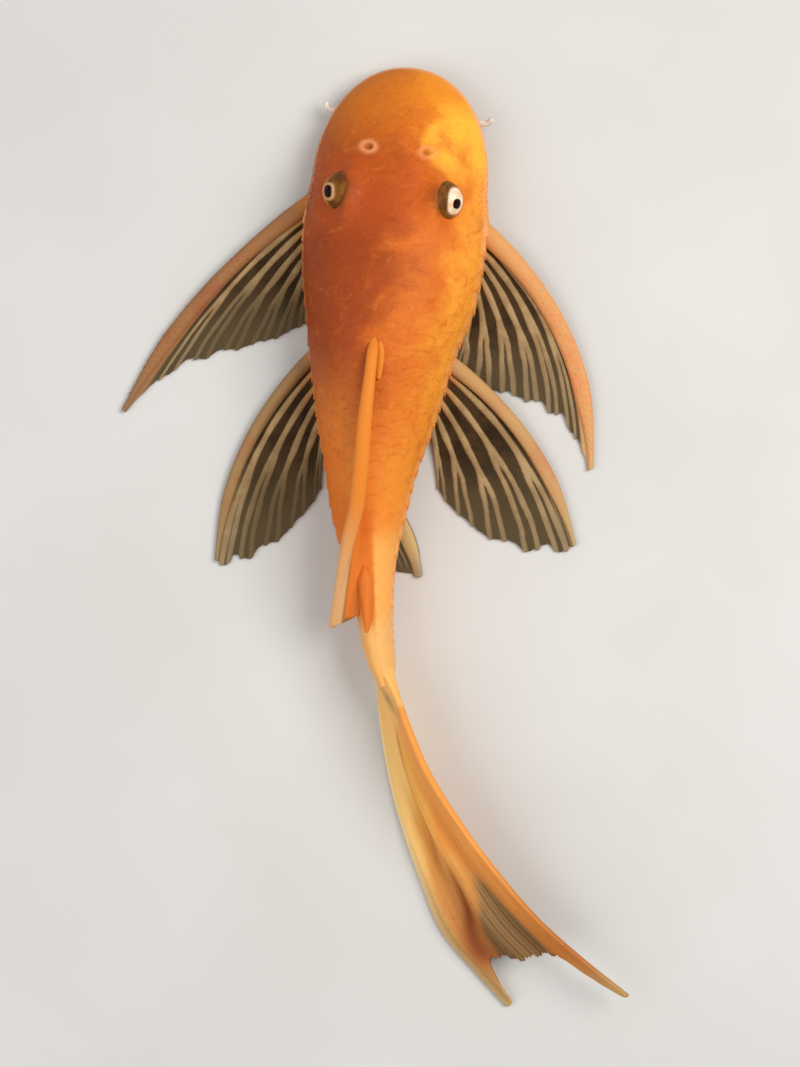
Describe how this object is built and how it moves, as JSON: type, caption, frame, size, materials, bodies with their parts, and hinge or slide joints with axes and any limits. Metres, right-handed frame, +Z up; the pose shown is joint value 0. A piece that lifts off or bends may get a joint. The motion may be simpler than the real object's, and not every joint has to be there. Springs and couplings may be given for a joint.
{
  "type": "bristlenose pleco model",
  "caption": "Life-size still model of an orange long-finned bristlenose pleco, resting on its belly with spread fins and a folded, trailing tail.",
  "frame": {"origin": "middle of the footprint's bounding box, on the surface that the fish rests on", "axes": "+Y towards the snout, +X towards the fish's right side, +Z up"},
  "size_m": [0.0796, 0.1464, 0.0192],
  "materials": {
    "skin": "moist, finely rough skin over bony plates",
    "lips": "soft and moist",
    "eyes": "wet gloss",
    "bristles": "soft and moist",
    "fins": "thin moist membrane between satin rays"
  },
  "bodies": {
    "root": {"head": "skin", "trunk": "skin", "tail_stalk": "skin", "mouth_disc": "lips", "eye_left": "eyes", "eye_right": "eyes", "bristle_left": "bristles", "bristle_right": "bristles", "pectoral_fin_left": "fins", "pectoral_fin_right": "fins", "pelvic_fin_left": "fins", "pelvic_fin_right": "fins", "dorsal_fin": "fins", "adipose_fin": "fins", "anal_fin": "fins", "tail_fin_lower_lobe": "fins", "tail_fin_upper_lobe": "fins"}
  },
  "joints": []
}
